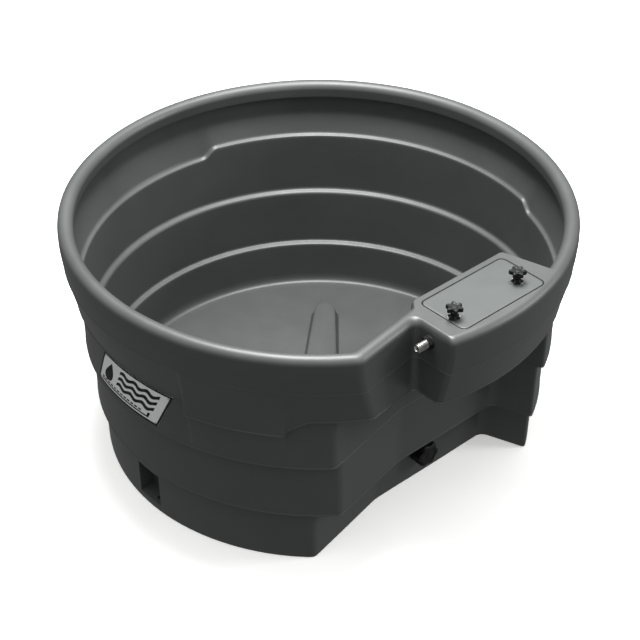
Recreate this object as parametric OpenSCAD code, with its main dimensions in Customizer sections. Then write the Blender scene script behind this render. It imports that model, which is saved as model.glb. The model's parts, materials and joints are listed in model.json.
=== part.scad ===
// Round livestock water trough: a moulded polyethylene tub with a covered float-valve housing,
// a threaded water inlet, a screw-capped drain and a pocket with a hole for an anchor stud.
// The tub stands on z = 0 with its axis on the Z axis. The valve housing faces -Y.

/* [Tub] */
// Outside diameter over the rim
rim_d = 1580; // [1440:10:1900]
// Height from the ground to the top of the rim
tub_h = 820; // [760:10:1000]
// Thickness of the moulded wall
wall = 10; // [8:0.5:12]
// Width of the rolled rim
rim_w = 48; // [40:1:56]
// Depth of the rolled rim's inner lip
rim_lip_h = 56; // [48:1:66]
// Height of the bottom tier
tier3_h = 189; // [170:1:210]
// Height of the middle tier
tier2_h = 201; // [170:1:220]
// How far each tier stands in from the one above it
tier_step = 23; // [18:1:28]
// How much narrower a tier is at its foot than at its head, on the radius
tier_draft = 4; // [2:0.5:6]
// How far the top tier stands in from the rim's outside
tier1_in = 50; // [46:1:60]
// Depth of the skirt band below the rim's top
band_h = 245; // [225:1:260]
// How far the band's lower edge stands in from the rim's outside
band_in = 36; // [30:1:40]
// Depth of the crease line in the band below the rim's top
crease_h = 125; // [110:1:140]
// How far the crease stands in from the rim's outside
crease_in = 9; // [6:1:12]
// Height of the floor's top above the ground
floor_z = 55; // [48:1:65]
// Width of the foot ring that the tub stands on
foot_w = 46; // [40:1:60]

/* [Band jogs] */
// Start of the stretch at the back where the band is shallower, in degrees
raise_a0 = -18; // [-24:1:-10]
// End of that stretch
raise_a1 = 78; // [60:1:90]
// How much shallower the band is there
raise_h = 30; // [15:1:40]
// Start of the lifting block that hangs below the band, in degrees
block_a0 = 197.5; // [196:0.5:205]
// End of the lifting block
block_a1 = 220.5; // [215:0.5:224]
// How far the block hangs below the band
block_h = 40; // [25:1:50]
// How far the block's foot stands in from the rim's outside
block_in = 17; // [13:1:22]

/* [Notch] */
// Distance from the rim's outside to the notch's long face
notch_depth = 280; // [250:1:300]
// Further depth of the notch in the bottom tier
notch_foot = 70; // [50:1:85]
// X of the corner between the long face and the slanting face
notch_left = -136; // [-160:1:-110]
// X of the corner between the long face and the right-hand face
notch_right = 271; // [255:1:300]
// Slope of the slanting face against the long face, in degrees
notch_slope = 11.5; // [8:0.5:14]
// Slope of the right-hand face against the Y axis, in degrees
notch_flare = 20; // [14:1:24]
// Further width of the notch's right-hand side in the bottom tier
notch_foot_right = 42; // [30:1:50]
// How much further left the notch begins at the foot
notch_foot_left = 24; // [0:1:40]

/* [Valve housing] */
// Distance from the rim's outside to the housing's inner face
housing_depth = 243; // [232:1:250]
// X of the housing's left-hand outer face
housing_left = -203; // [-215:1:-190]
// X of the housing's right-hand inner corner
housing_right = 212; // [205:1:235]
// Slope of the housing's right-hand face against the Y axis, in degrees
housing_flare = 15; // [10:1:20]
// Distance from the rim's outside to the band's slanting face beside the housing
shoulder_depth = 168; // [155:1:175]
// Slope of the band's slanting face, in degrees
shoulder_slope = 8.5; // [6:0.5:11]
// Thickness of the housing's deck
deck_t = 18; // [16:0.5:22]
// Width of each water passage between the housing and the tub
passage_w = 70; // [40:1:90]
// Height of each water passage
passage_h = 45; // [30:1:60]

/* [Cover] */
// Length of the cover plate
cover_l = 332; // [300:1:345]
// Width of the cover plate
cover_w = 170; // [150:1:174]
// X of the cover's middle
cover_x = 23.5; // [20:0.5:30]
// Thickness of the cover plate
cover_t = 8; // [6:0.5:9]
// Corner radius of the cover
cover_corner = 18; // [10:1:25]
// Gap round the cover's edge
cover_gap = 2.5; // [1.5:0.5:4]
// Width of the ledge that the cover rests on
cover_ledge = 11; // [9:1:14]
// Thickness of the cover's rubber seal
seal_t = 2; // [1:0.5:3]

/* [Latches] */
// Distance of the left knob's axis from the cover's left edge
latch_in_left = 20; // [19:1:30]
// Distance of the right knob's axis from the cover's right edge
latch_in_right = 56; // [40:1:60]
// Distance of both axes from the cover's front edge
latch_in_front = 58; // [45:1:80]
// Radius of the latch spindle
spindle_r = 4; // [3:0.25:5]
// Length of the latch tongue from the spindle's axis
tongue_l = 62; // [58:1:64]
// Thickness of the latch tongue
tongue_t = 3; // [2:0.5:4]
// Radius over the star knob's lobes
knob_r = 26; // [20:1:28]
// Height of the star knob's underside above the cover
knob_lift = 24; // [16:1:34]

/* [Inlet and float valve] */
// Distance of the inlet's axis from the rim's outside
inlet_in = 115; // [105:1:125]
// Depth of the inlet's axis below the rim's top
inlet_drop = 50; // [48:1:60]
// Radius over the inlet's thread, G 3/4
inlet_r = 13.2; // [10.4:0.1:13.2]
// Depth of that thread from its crests to its pitch line
inlet_thread = 0.6; // [0.4:0.05:0.6]
// Free length of the inlet thread beyond its nut
inlet_free = 37; // [25:1:45]
// Radius of the valve's bore
valve_bore_r = 9; // [8:0.25:9.5]
// Length of the float arm from its pin to the float's middle
arm_l = 185; // [175:1:200]
// Angle of the hanging arm below the horizontal
arm_drop_a = 34; // [30:0.5:36]
// Angle that the arm rises through to close the valve
arm_rise_a = 25; // [20:1:25]
// Length of the lever's finger from the pin to the middle of its tip
finger_l = 12; // [11:0.5:12.5]
// Radius of the float
float_r = 52; // [40:1:54]

/* [Drain] */
// X of the drain's axis
drain_x = 22; // [-20:1:60]
// Height of the drain's axis above the ground
drain_z = 108; // [105:1:120]
// Radius over the drain thread, G 2
drain_r = 29.8; // [25:0.1:30]
// Radius over the cap's lobes
cap_r = 43; // [40:1:46]
// Height of the cap
cap_h = 40; // [30:1:45]

/* [Anchor pocket and plate] */
// Width of the anchor pocket
pocket_w = 100; // [80:1:120]
// Depth of the anchor pocket from the tub's outside
pocket_d = 62; // [55:1:80]
// Height of the pocket's sill above the ground
pocket_z = 30; // [26:1:60]
// Height of the pocket's mouth
pocket_h = 118; // [90:1:120]
// Bearing of the pocket and the plate, in degrees
pocket_a = 179; // [172:1:181]
// Radius of the anchor hole
anchor_r = 8; // [6:0.5:9]
// Width of the name plate
plate_w = 310; // [240:1:320]
// Height of the name plate
plate_h = 142; // [100:1:145]

/* [Hidden] */

// Clearances
fit = 0.06;       // radial running clearance of a shaft in its hole
free_gap = 0.4;   // gap between pieces that pass each other
$fn = 96;

// Levels
rim_r = rim_d / 2;
step2_z = tier3_h;
step1_z = tier3_h + tier2_h;
band_z = tub_h - band_h;
crease_z = tub_h - crease_h;
lip_z = tub_h - rim_lip_h;
deck_under_z = tub_h - deck_t;
chamber_z = band_z + wall;

// Radii: each tier's head and foot
tier1_head = rim_r - tier1_in;
tier1_foot = tier1_head - tier_draft;
tier2_head = tier1_head - tier_step;
tier2_foot = tier2_head - tier_draft;
tier3_head = tier2_head - tier_step;
tier3_foot = tier3_head - tier_draft;
band_r = rim_r - band_in;
crease_r = rim_r - crease_in;
block_r = rim_r - block_in;
ledge_rise = 8;        // rise of a ledge from its edge to the tier below
band_wall = 1.04 * wall; // the band slopes, so it is wider along the radius

// Places in plan
notch_y = rim_r - notch_depth;
housing_y = rim_r - housing_depth;
shoulder_y = rim_r - shoulder_depth;
cover_y = -(rim_r - 44 - cover_w / 2);
inlet_y = -(rim_r - inlet_in);
inlet_z = tub_h - inlet_drop;
latch_y = cover_y - cover_w / 2 + latch_in_front;
latch_left_x = cover_x - cover_l / 2 + latch_in_left;
latch_right_x = cover_x + cover_l / 2 - latch_in_right;
far = rim_r + 100;     // beyond the tub's outside

// ---- Tub ----

// Outside of the tub as a half section, filled to the axis
module tub_outside_section() {
    polygon([
        [0, 0], [tier3_foot, 0], [tier3_head, step2_z + ledge_rise],
        [tier2_foot, step2_z], [tier2_head, step1_z + ledge_rise],
        [tier1_foot, step1_z], [tier1_head, band_z + ledge_rise],
        [band_r, band_z], [crease_r, crease_z], [rim_r, lip_z],
        [rim_r, tub_h - rim_w / 2], [0, tub_h - rim_w / 2]
    ]);
    translate([rim_r - rim_w / 2, tub_h - rim_w / 2]) circle(r = rim_w / 2);
    translate([0, tub_h - rim_w / 2 - 1]) square([rim_r - rim_w / 2, rim_w / 2 + 1]);
}

// The rolled rim with its inner lip
module rim_section() {
    translate([rim_r - rim_w / 2, tub_h - rim_w / 2]) circle(r = rim_w / 2);
    polygon([
        [rim_r - rim_w, tub_h - rim_w / 2], [rim_r - rim_w + 2, lip_z + 4],
        [rim_r - rim_w + 8, lip_z], [rim_r + 5, lip_z - 12], [rim_r + 5, tub_h - rim_w / 2]
    ]);
}

// The water space as a half section
module water_section() {
    floor_round = 26;
    difference() {
        polygon([
            [0, floor_z], [tier3_foot - wall - floor_round, floor_z],
            [tier3_foot - wall - floor_round * 0.3, floor_z + floor_round * 0.3],
            [tier3_foot - wall, floor_z + floor_round],
            [tier3_head - wall, step2_z + ledge_rise + wall],
            [tier2_foot - wall, step2_z + 2 * ledge_rise + wall],
            [tier2_head - wall, step1_z + ledge_rise + wall],
            [tier1_foot - wall, step1_z + 2 * ledge_rise + wall],
            [tier1_head - wall, band_z + ledge_rise + wall],
            [band_r - band_wall, band_z + 2 * ledge_rise + wall],
            [crease_r - band_wall, crease_z],
            [rim_r - wall, lip_z], [rim_r - wall, tub_h + 5], [0, tub_h + 5]
        ]);
        rim_section();
        translate([rim_r - rim_w / 2, tub_h - rim_w / 2]) square([rim_w, rim_w]);
    }
}

// The notch in plan. d moves each face towards the tub's middle.
module notch_plan(y, left, right, d) {
    b = [left - d * tan(notch_slope / 2), -y + d];
    c = [right + d * (1 - sin(notch_flare)) / cos(notch_flare), -y + d];
    reach = far;
    polygon([
        b, c, [c.x + reach * sin(notch_flare), c.y - reach * cos(notch_flare)],
        [c.x, -2 * far], [b.x - reach, -2 * far], [b.x - reach, b.y - reach * tan(notch_slope)]
    ]);
}

module upper_notch(d) notch_plan(notch_y, notch_left, notch_right, d);
module foot_notch(d)
    notch_plan(notch_y - notch_foot, notch_left - notch_foot_left, notch_right + notch_foot_right, d);

// Space in front of the band's slanting face and left of the housing
module shoulder_plan(d) {
    x = housing_left + d;
    y = -shoulder_y + d;
    polygon([[x, y], [x, -2 * far], [x - far, -2 * far], [x - far, y - far * tan(shoulder_slope)]]);
}

// Outline of the housing and the slanting band, seen from the water
module housing_plan() {
    right_reach = far - housing_y;
    polygon([
        [housing_left + 55, -housing_y], [housing_right, -housing_y],
        [housing_right + right_reach * tan(housing_flare), -far], [housing_left, -far],
        [housing_left, -shoulder_y + wall]
    ]);
    shoulder_plan(wall);
}

// The rim along the slanting face, seen from the water
module shoulder_rim_plan() shoulder_plan(rim_w);

// The valve chamber in plan
module chamber_plan() {
    right_reach = far - housing_y;
    polygon([
        [housing_left + wall, -housing_y - wall], [housing_right - wall, -housing_y - wall],
        [housing_right - wall + right_reach * tan(housing_flare), -far],
        [housing_left + wall, -far]
    ]);
}

module chamber_section() {
    polygon([
        [0, chamber_z], [band_r - band_wall, chamber_z], [crease_r - band_wall, crease_z],
        [rim_r - wall, lip_z], [rim_r - wall, deck_under_z], [0, deck_under_z]
    ]);
}

// A ring sector
module sector(a0, a1) rotate([0, 0, a0]) rotate_extrude(angle = a1 - a0, $fn = 192) children();

module tub_outside() {
    difference() {
        union() {
            rotate_extrude($fn = 192) tub_outside_section();
            sector(block_a0, block_a1) lifting_block_section(0);
        }
        sector(raise_a0, raise_a1)
            translate([tier1_head, band_z - 6]) square([far - tier1_head, raise_h + 6]);
        translate([0, 0, -1]) linear_extrude(step2_z + 1) foot_notch(0);
        translate([0, 0, -1]) linear_extrude(band_z + 1) upper_notch(0);
        translate([0, 0, band_z - 5]) linear_extrude(band_h + 10) shoulder_plan(0);
    }
}

// The block below the band. d shrinks it for its hollow. Its head ends inside the band.
module lifting_block_section(d) {
    foot_z = band_z - block_h;
    head_z = crease_z + 4;
    polygon([
        [tier1_foot - d, foot_z + d], [block_r - d * 1.04, foot_z + d],
        [crease_r - 2 - d * 1.04, head_z], [tier1_foot - d, head_z]
    ]);
}

module water_space() {
    turn = asin(wall / tier1_head);
    difference() {
        union() {
            rotate_extrude($fn = 192) water_section();
            sector(block_a0 + turn, block_a1 - turn) lifting_block_section(wall);
        }
        sector(raise_a0 - turn, raise_a1 + turn)
            translate([tier1_head - wall, band_z]) square([band_in + wall, raise_h + ledge_rise + wall]);
        translate([0, 0, floor_z - 1]) linear_extrude(step2_z + wall - floor_z + 1) foot_notch(wall);
        translate([0, 0, floor_z - 1]) linear_extrude(chamber_z - floor_z + 1) upper_notch(wall);
        translate([0, 0, band_z]) linear_extrude(band_h + 10) housing_plan();
        translate([0, 0, lip_z]) linear_extrude(rim_lip_h + 10) shoulder_rim_plan();
        rotate([0, 0, pocket_a]) pocket_space(wall);
        floor_rib();
    }
}

// The anchor pocket at bearing 0. d grows it on every side.
module pocket_space(d) {
    translate([tier3_head - pocket_d - d, -pocket_w / 2 - d, pocket_z - d])
        cube([far - tier3_head + pocket_d, pocket_w + 2 * d, pocket_h + 2 * d]);
}

// A tapered stiffening rib on the floor, at 45 degrees
module floor_rib() {
    rib_far = 500;
    rib_near = -60;
    rib_h = 34;
    rotate([0, 0, 45]) translate([0, 0, floor_z - 1]) linear_extrude(rib_h + 1) {
        polygon([[rib_near, -70], [rib_far - 40, -42], [rib_far - 40, 42], [rib_near, 70]]);
        translate([rib_far - 42, 0]) circle(r = 42);
        translate([rib_near, 0]) circle(r = 70);
    }
}

module cover_outline(grow) {
    w = cover_w / 2 + grow;
    l = cover_l / 2 + grow;
    r = cover_corner + grow;
    translate([cover_x, cover_y]) {
        square([2 * l, 2 * (w - r)], center = true);
        square([2 * (l - r), 2 * w], center = true);
        for (sx = [-1, 1], sy = [-1, 1])
            translate([sx * (l - r), sy * (w - r)]) circle(r = r);
    }
}

module tub() {
    seat_z = tub_h - cover_t - seal_t;
    color([0.27, 0.28, 0.28]) difference() {
        tub_outside();
        water_space();
        // hollow underside inside the foot ring
        difference() {
            translate([0, 0, -1]) cylinder(r = tier3_foot - foot_w, h = floor_z - wall + 1, $fn = 192);
            translate([0, 0, -2]) linear_extrude(floor_z) foot_notch(foot_w);
            rotate([0, 0, pocket_a]) pocket_space(wall);
        }
        // valve chamber
        intersection() {
            rotate_extrude($fn = 192) chamber_section();
            translate([0, 0, chamber_z - 1]) linear_extrude(band_h) chamber_plan();
        }
        // cover opening and its seat
        translate([0, 0, seat_z]) linear_extrude(deck_t) cover_outline(cover_gap);
        translate([0, 0, deck_under_z - 1]) linear_extrude(deck_t) cover_outline(-cover_ledge);
        // water passages
        for (sx = [-1, 1])
            translate([cover_x + sx * 90 - passage_w / 2, -housing_y - 2 * wall, chamber_z + 2])
                cube([passage_w, 3 * wall, passage_h]);
        // inlet hole
        translate([housing_left - 5, inlet_y, inlet_z]) rotate([0, 90, 0])
            cylinder(r = inlet_r + 0.4, h = wall + 10);
        // drain hole
        translate([drain_x, -notch_y + notch_foot + wall + 5, drain_z]) rotate([90, 0, 0])
            cylinder(r = drain_r + 0.4, h = wall + 10);
        // anchor pocket and the place of the block under its sill
        rotate([0, 0, pocket_a]) {
            pocket_space(0);
            anchor_block_space(1);
        }
    }
}

// ---- Anchor block ----

anchor_y = 18;         // place of the anchor hole along the pocket
anchor_wall = 22;      // solid on each side of the anchor hole

// Space of the block at bearing 0. d makes it run past the sill and the ground.
module anchor_block_space(d) {
    half_w = anchor_r + anchor_wall;
    translate([tier3_foot - foot_w - 2, anchor_y - half_w, -d])
        cube([far - tier3_foot, 2 * half_w, pocket_z + 2 * d]);
}

// The stretch of the foot ring that the anchor stud goes through
module anchor_block() {
    inner_r = tier3_foot - foot_w - 10;
    sill_r = tier3_foot + tier_draft * pocket_z / (step2_z + ledge_rise);
    color([0.27, 0.28, 0.28]) rotate([0, 0, pocket_a]) difference() {
        intersection() {
            sector(-8, 8) polygon([
                [inner_r, 0], [tier3_foot, 0], [sill_r, pocket_z], [inner_r, pocket_z]
            ]);
            anchor_block_space(0);
        }
        translate([tier3_foot - foot_w / 2, anchor_y, -1]) cylinder(r = anchor_r, h = pocket_z + 2);
    }
}

// ---- Name plate ----

plate_t = 1.2;
plate_mid_z = (step1_z + band_z) / 2;
plate_turn = plate_w / 2 / tier1_head * 180 / PI + 8;

// Radius of the top tier's outside at height z
function tier1_r(z) = tier1_foot
    + tier_draft * (z - step1_z) / (band_z + ledge_rise - step1_z);

module name_plate() {
    z0 = plate_mid_z - plate_h / 2;
    z1 = plate_mid_z + plate_h / 2;
    lean = plate_h / 4;
    color([0.82, 0.83, 0.83]) rotate([0, 0, pocket_a]) intersection() {
        sector(-plate_turn, plate_turn) polygon([
            [tier1_r(z0), z0], [tier1_r(z0) + plate_t, z0],
            [tier1_r(z1) + plate_t, z1], [tier1_r(z1), z1]
        ]);
        translate([0, 0, plate_mid_z]) rotate([90, 0, 90]) linear_extrude(far) polygon([
            [-plate_w / 2 + lean, plate_h / 2 + 1], [plate_w / 2 + lean, plate_h / 2 + 1],
            [plate_w / 2 - lean, -plate_h / 2 - 1], [-plate_w / 2 - lean, -plate_h / 2 - 1]
        ]);
    }
}

module plate_rivets() {
    edge = 12;
    lean = plate_h / 4;
    color([0.7, 0.7, 0.7]) rotate([0, 0, pocket_a]) for (sy = [-1, 1], sz = [-1, 1]) {
        z = plate_mid_z + sz * (plate_h / 2 - edge);
        y = sy * (plate_w / 2 - edge) + sz * (lean * (1 - 2 * edge / plate_h));
        r = tier1_r(z);
        rotate([0, 0, asin(y / r)]) translate([r + plate_t + 0.3, 0, z]) rotate([0, 90, 0])
            cylinder(r1 = 3.5, r2 = 2, h = 1.2, $fn = 24);
    }
}

// ---- Cover ----

module cover() {
    z = tub_h - cover_t;
    skirt_t = 4;
    color([0.3, 0.31, 0.31]) difference() {
        union() {
            translate([0, 0, z]) linear_extrude(cover_t) cover_outline(0);
            // locating skirt that drops into the opening
            translate([0, 0, z - 7]) linear_extrude(8) difference() {
                cover_outline(-cover_ledge - 1);
                cover_outline(-cover_ledge - 1 - skirt_t);
            }
        }
        for (x = [latch_left_x, latch_right_x])
            translate([x, latch_y, z - 10]) cylinder(r = spindle_r + fit, h = cover_t + 20, $fn = 48);
        translate([latch_left_x, latch_y, z - 8]) cylinder(r = spindle_r + 7, h = 8, $fn = 48);
    }
}

module cover_seal() {
    color([0.1, 0.1, 0.1]) translate([0, 0, tub_h - cover_t - seal_t]) linear_extrude(seal_t)
        difference() {
            cover_outline(-1);
            cover_outline(-cover_ledge + 1);
        }
}

// ---- Latches: star knob, spindle, tongue ----

module star_knob() {
    head_t = 14;
    hub_r = 10;
    lobe_r = 7.5;
    lobes = 6;
    color([0.06, 0.06, 0.06]) difference() {
        union() {
            // star head
            translate([0, 0, knob_lift]) {
                cylinder(r = knob_r - lobe_r, h = head_t, $fn = 48);
                for (i = [0:lobes - 1]) rotate([0, 0, i * 360 / lobes])
                    translate([knob_r - lobe_r, 0, 0]) cylinder(r = lobe_r, h = head_t, $fn = 32);
            }
            cylinder(r = hub_r, h = knob_lift + 1, $fn = 48);
            // flared foot with small wings
            cylinder(r1 = 15, r2 = hub_r, h = 8, $fn = 48);
            for (i = [0:2]) rotate([0, 0, i * 120 + 30])
                translate([13, 0, 0]) cylinder(r = 6, h = 5, $fn = 32);
        }
        translate([0, 0, -1]) cylinder(r = spindle_r, h = knob_lift + 9, $fn = 48);
    }
}

module at_latch_left(z) translate([latch_left_x, latch_y, z]) children();
module at_latch_right(z) translate([latch_right_x, latch_y, z]) children();

knob_gap = 1.6;       // the washer's thickness, between cover and knob
tongue_top = deck_under_z - 0.6;
nut_t = 4;
spindle_low = tongue_top - tongue_t - nut_t - 1;

module spindle() {
    color([0.65, 0.66, 0.67])
        cylinder(r = spindle_r, h = tub_h + knob_gap + knob_lift + 8 - spindle_low, $fn = 48);
}

module spindle_washer() {
    color([0.75, 0.75, 0.75]) difference() {
        cylinder(r = 19, h = knob_gap, $fn = 48);
        translate([0, 0, -1]) cylinder(r = spindle_r + fit, h = knob_gap + 2, $fn = 48);
    }
}

// Steel tongue that points to the tub's middle when it is released
module tongue() {
    half_w = 8;
    color([0.68, 0.69, 0.7]) difference() {
        union() {
            translate([-half_w, 0, 0]) cube([2 * half_w, tongue_l - half_w, tongue_t]);
            cylinder(r = half_w, h = tongue_t, $fn = 32);
            translate([0, tongue_l - half_w, 0]) cylinder(r = half_w, h = tongue_t, $fn = 32);
        }
        translate([0, 0, -1]) cylinder(r = spindle_r, h = tongue_t + 2, $fn = 48);
    }
}

module tongue_nut() {
    color([0.7, 0.7, 0.7]) difference() {
        cylinder(r = 7, h = nut_t, $fn = 6);
        translate([0, 0, -1]) cylinder(r = spindle_r, h = nut_t + 2, $fn = 48);
    }
}

module knob_left() at_latch_left(tub_h + knob_gap) star_knob();
module knob_right() at_latch_right(tub_h + knob_gap) rotate([0, 0, 20]) star_knob();
module spindle_left() at_latch_left(spindle_low) spindle();
module spindle_right() at_latch_right(spindle_low) spindle();
module spindle_washer_left() at_latch_left(tub_h) spindle_washer();
module spindle_washer_right() at_latch_right(tub_h) spindle_washer();
module tongue_left() at_latch_left(tongue_top - tongue_t) tongue();
module tongue_right() at_latch_right(tongue_top - tongue_t) tongue();
module tongue_nut_left() at_latch_left(tongue_top - tongue_t - nut_t) tongue_nut();
module tongue_nut_right() at_latch_right(tongue_top - tongue_t - nut_t) tongue_nut();

// ---- Float valve ----

washer_t = 3;
inlet_nut_t = 10;
flange_t = 4;
body_r = 15;
bore_start = 23;         // from the housing's inner face to the seat's back
seat_t = 8;
seat_lip = 2;
piston_r = valve_bore_r - fit;
piston_washer_t = 3;
pin_r = 2.5;
lug_t = 4;
lever_t = 8;
tip_r = 2.7;
arm_r = 4;

inlet_x0 = housing_left - washer_t - inlet_nut_t - inlet_free;
neck_x = inlet_x0 + inlet_free;
neck_r = inlet_r - inlet_thread;   // where nut and thread interlock, both meet at the pitch line
flange_x = housing_left + wall + washer_t;
seat_x = housing_left + bore_start;
travel = 2 * finger_l * sin(arm_rise_a / 2);
piston_x = seat_x + seat_t + seat_lip + travel + 0.1;
pin_x = piston_x + 36.7;
pin_z = inlet_z - valve_bore_r - 9;
body_end = pin_x + 16;
piston_end = body_end - 6;
outlet_x = piston_x + 4;
outlet_r = 6;

// Everything of the valve is drawn from its axis, along +X
module along_x(x) translate([x, inlet_y, inlet_z]) rotate([0, 90, 0]) children();
// A bar along Y through the hinge pin's axis
module at_pin(l) translate([pin_x, inlet_y + l / 2, pin_z]) rotate([90, 0, 0]) children();

module valve_body() {
    lug_gap = lever_t / 2 + 0.3;
    color([0.72, 0.6, 0.35]) difference() {
        union() {
            along_x(inlet_x0) cylinder(r = inlet_r, h = inlet_free);
            along_x(neck_x - 1) cylinder(r = neck_r, h = flange_x - neck_x + 2);
            along_x(flange_x) cylinder(r = 21, h = flange_t);
            along_x(flange_x + 1) cylinder(r = body_r, h = body_end - flange_x - 1);
            // two lugs that carry the hinge pin
            for (s = [-1, 1]) {
                translate([pin_x - 7, inlet_y + (s > 0 ? lug_gap : -lug_gap - lug_t), pin_z])
                    cube([14, lug_t, valve_bore_r + 4]);
                translate([pin_x, inlet_y + (s > 0 ? lug_gap + lug_t : -lug_gap), pin_z])
                    rotate([90, 0, 0]) cylinder(r = 7, h = lug_t, $fn = 48);
            }
        }
        along_x(inlet_x0 - 1) cylinder(r = 8, h = seat_x - inlet_x0 + 2);
        along_x(seat_x) cylinder(r = valve_bore_r, h = body_end - seat_x + 1);
        at_pin(40) cylinder(r = pin_r + fit, h = 40, $fn = 48);
        // slot that the lever's finger passes through
        translate([pin_x - 12, inlet_y - lug_gap, inlet_z - body_r - 1])
            cube([30, 2 * lug_gap, body_r + 1]);
        translate([outlet_x, inlet_y, inlet_z - body_r - 5]) cylinder(r = outlet_r, h = body_r);
    }
}

module outlet_spout() {
    color([0.85, 0.85, 0.83]) translate([outlet_x, inlet_y, inlet_z - body_r - 18]) difference() {
        cylinder(r = outlet_r + 3, h = 18, $fn = 48);
        translate([0, 0, -1]) cylinder(r = outlet_r, h = 30, $fn = 48);
        translate([-20, 0, 18 + body_r]) rotate([0, 90, 0]) cylinder(r = body_r, h = 40);
    }
}

module flat_ring(r_out, r_in, t) difference() {
    cylinder(r = r_out, h = t);
    translate([0, 0, -1]) cylinder(r = r_in, h = t + 2);
}

module inlet_washer_outer()
    color([0.08, 0.08, 0.08]) along_x(housing_left - washer_t) flat_ring(20, inlet_r, washer_t);
module inlet_washer_inner()
    color([0.08, 0.08, 0.08]) along_x(housing_left + wall) flat_ring(20, inlet_r, washer_t);

module inlet_nut() {
    color([0.12, 0.12, 0.12]) along_x(neck_x) difference() {
        cylinder(r = 20, h = inlet_nut_t, $fn = 6);
        translate([0, 0, -1]) cylinder(r = neck_r, h = inlet_nut_t + 2);
    }
}

module valve_seat() {
    color([0.9, 0.9, 0.88]) along_x(seat_x) difference() {
        union() {
            cylinder(r = valve_bore_r, h = seat_t);
            cylinder(r1 = valve_bore_r - 1, r2 = 6.5, h = seat_t + seat_lip);
        }
        translate([0, 0, -1]) cylinder(r = 5, h = seat_t + seat_lip + 2);
    }
}

module valve_end_cap() {
    color([0.72, 0.6, 0.35]) along_x(body_end) {
        cylinder(r = body_r, h = 4);
        translate([0, 0, -4]) difference() {
            cylinder(r = valve_bore_r, h = 5);
            translate([-1, -valve_bore_r, -1]) cube([2 * valve_bore_r, 2 * valve_bore_r, 5]);
        }
    }
}

module hinge_pin() {
    color([0.7, 0.71, 0.72]) {
        at_pin(lever_t + 2 * lug_t + 6) cylinder(r = pin_r, h = lever_t + 2 * lug_t + 6, $fn = 48);
        at_pin(lever_t + 2 * lug_t + 6) translate([0, 0, -2]) cylinder(r = 4, h = 2, $fn = 48);
    }
}

module valve_piston() {
    slot_w = 2 * tip_r + free_gap;
    slot_x = pin_x + finger_l * sin(arm_rise_a / 2);
    color([0.8, 0.7, 0.45]) difference() {
        along_x(piston_x + piston_washer_t) cylinder(r = piston_r, h = piston_end - piston_x - piston_washer_t);
        translate([slot_x - slot_w / 2, inlet_y - lever_t, inlet_z - valve_bore_r - 1])
            cube([slot_w, 2 * lever_t, 9]);
    }
}

module piston_washer()
    color([0.08, 0.08, 0.08]) along_x(piston_x) cylinder(r = 7.5, h = piston_washer_t);

// Lever frame: the pin's axis at the origin, the arm along its own X
module lever_frame(a) translate([pin_x, inlet_y, pin_z]) rotate([0, a, 0]) children();

rod_start = 40;
clamp_l = 24;

module float_lever() {
    arm_w = 7;
    color([0.78, 0.66, 0.4]) difference() {
        union() {
            translate([pin_x, inlet_y + lever_t / 2, pin_z]) rotate([90, 0, 0])
                cylinder(r = 6, h = lever_t, $fn = 48);
            // finger that drives the piston
            lever_frame(arm_rise_a / 2) {
                translate([-1.4, -3, 0]) cube([2.8, 6, finger_l]);
                translate([0, 3, finger_l]) rotate([90, 0, 0]) cylinder(r = tip_r, h = 6, $fn = 48);
            }
            // arm and rod clamp
            lever_frame(arm_drop_a) {
                translate([0, -arm_w / 2, -arm_w / 2]) cube([rod_start, arm_w, arm_w]);
                translate([rod_start - 2, -7, -7]) cube([clamp_l + 2, 14, 14]);
            }
        }
        at_pin(40) cylinder(r = pin_r + fit, h = 40, $fn = 48);
        lever_frame(arm_drop_a) translate([rod_start + 4, 0, 0]) rotate([0, 90, 0])
            cylinder(r = arm_r, h = clamp_l, $fn = 48);
        lever_frame(arm_drop_a) translate([rod_start + clamp_l / 2, 0, 0])
            cylinder(r = 2.5, h = 20, $fn = 32);
    }
}

module float_rod() {
    color([0.75, 0.76, 0.77]) lever_frame(arm_drop_a) translate([rod_start + 4, 0, 0])
        rotate([0, 90, 0]) cylinder(r = arm_r, h = arm_l - rod_start - 24, $fn = 48);
}

module rod_screw() {
    color([0.7, 0.71, 0.72]) lever_frame(arm_drop_a) translate([rod_start + clamp_l / 2, 0, arm_r]) {
        cylinder(r = 2.5, h = 6, $fn = 32);
        translate([0, 0, 4.5]) cylinder(r = 5.5, h = 5, $fn = 32);
    }
}

module rod_nut() {
    color([0.7, 0.7, 0.7]) lever_frame(arm_drop_a)
        translate([arm_l - float_r - 10, 0, 0]) rotate([0, 90, 0]) difference() {
            cylinder(r = 8, h = 5, $fn = 6);
            translate([0, 0, -1]) cylinder(r = arm_r, h = 7, $fn = 48);
        }
}

module float() {
    color([0.85, 0.35, 0.1]) lever_frame(arm_drop_a) difference() {
        union() {
            translate([arm_l, 0, 0]) sphere(r = float_r);
            translate([arm_l - float_r - 5, 0, 0]) rotate([0, 90, 0]) cylinder(r = 9, h = 20, $fn = 48);
        }
        translate([arm_l - float_r - 6, 0, 0]) rotate([0, 90, 0])
            cylinder(r = arm_r, h = float_r - 14, $fn = 48);
    }
}

// ---- Drain ----

drain_face = -(notch_y - notch_foot);   // Y of the notch's foot face
flange_r = drain_r + 11;
bushing_flange_t = 6;
gasket_t = 3;
thread_out = 14;
back_nut_t = 12;
cap_wall = 5;
cap_gap = 0.08;

// A ring round the drain's axis from y0, growing along -Y
module along_drain(y0) translate([drain_x, y0, drain_z]) rotate([90, 0, 0]) children();

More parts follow.
